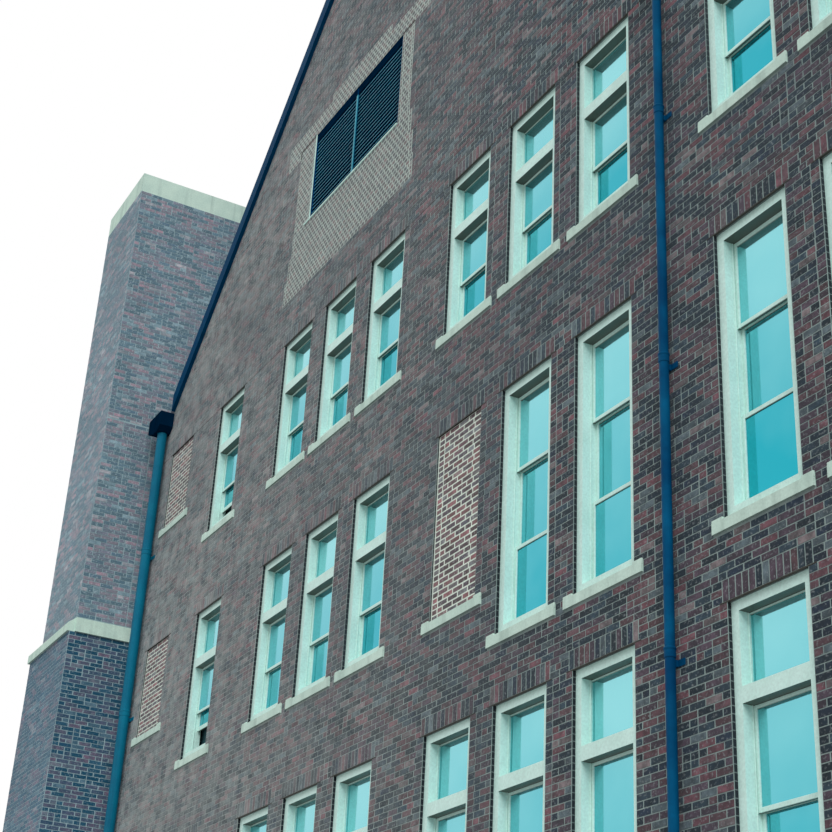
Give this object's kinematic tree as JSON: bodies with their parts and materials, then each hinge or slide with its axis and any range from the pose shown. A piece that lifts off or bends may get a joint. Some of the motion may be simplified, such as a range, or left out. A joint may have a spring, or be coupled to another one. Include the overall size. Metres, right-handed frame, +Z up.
{
  "type": "brick school building",
  "caption": "Brick school with a twin-gabled front, tall sash windows, bricked-up openings, gable louvres, rainwater pipes and a stone-banded corner chimney stack.",
  "frame": {"origin": "centre of the building's plan at ground level, on the underside of the ground floor; X is 0 midway between the gables", "axes": "+X along the front to the right as seen from outside, +Y from the front into the building, +Z up"},
  "size_m": [33.585, 16.21, 21.7766],
  "materials": {
    "brick": "rough",
    "chimney_brick": "rough",
    "infill_brick": "rough",
    "pale_stone": "matte",
    "window_paint": "painted",
    "glass": "clear",
    "pipe_metal": "painted",
    "louvre_metal": "painted",
    "roof_slate": "matte",
    "concrete": "matte",
    "door_paint": "painted"
  },
  "bodies": {
    "root": {"attic_floor": "concrete", "back_glass": "glass", "back_sills": "pale_stone", "back_verge": "pipe_metal", "back_wall_left": "brick", "back_wall_right": "brick", "back_windows": "window_paint", "bricked_up_windows": "infill_brick", "chimney_band": "pale_stone", "chimney_base": "chimney_brick", "chimney_coping": "pale_stone", "chimney_shaft": "chimney_brick", "first_floor": "concrete", "front_glass": "glass", "front_sills": "pale_stone", "front_verge": "pipe_metal", "front_wall_left": "brick", "front_wall_right": "brick", "front_windows_first": "window_paint", "front_windows_ground": "window_paint", "front_windows_second": "window_paint", "front_windows_third": "window_paint", "ground_floor": "concrete", "left_downspout": "pipe_metal", "left_gutter": "pipe_metal", "left_side_wall": "brick", "louvre_left": "louvre_metal", "louvre_right": "louvre_metal", "middle_downspout": "pipe_metal", "rainwater_heads": "pipe_metal", "ridge_caps": "roof_slate", "right_downspout": "pipe_metal", "right_gutter": "pipe_metal", "right_side_wall": "brick", "roof_left_inner": "roof_slate", "roof_left_outer": "roof_slate", "roof_right_inner": "roof_slate", "roof_right_outer": "roof_slate", "second_floor": "concrete", "side_doors": "door_paint", "side_glass": "glass", "side_sills": "pale_stone", "side_windows": "window_paint", "third_floor": "concrete", "valley_gutter": "pipe_metal"}
  },
  "joints": []
}
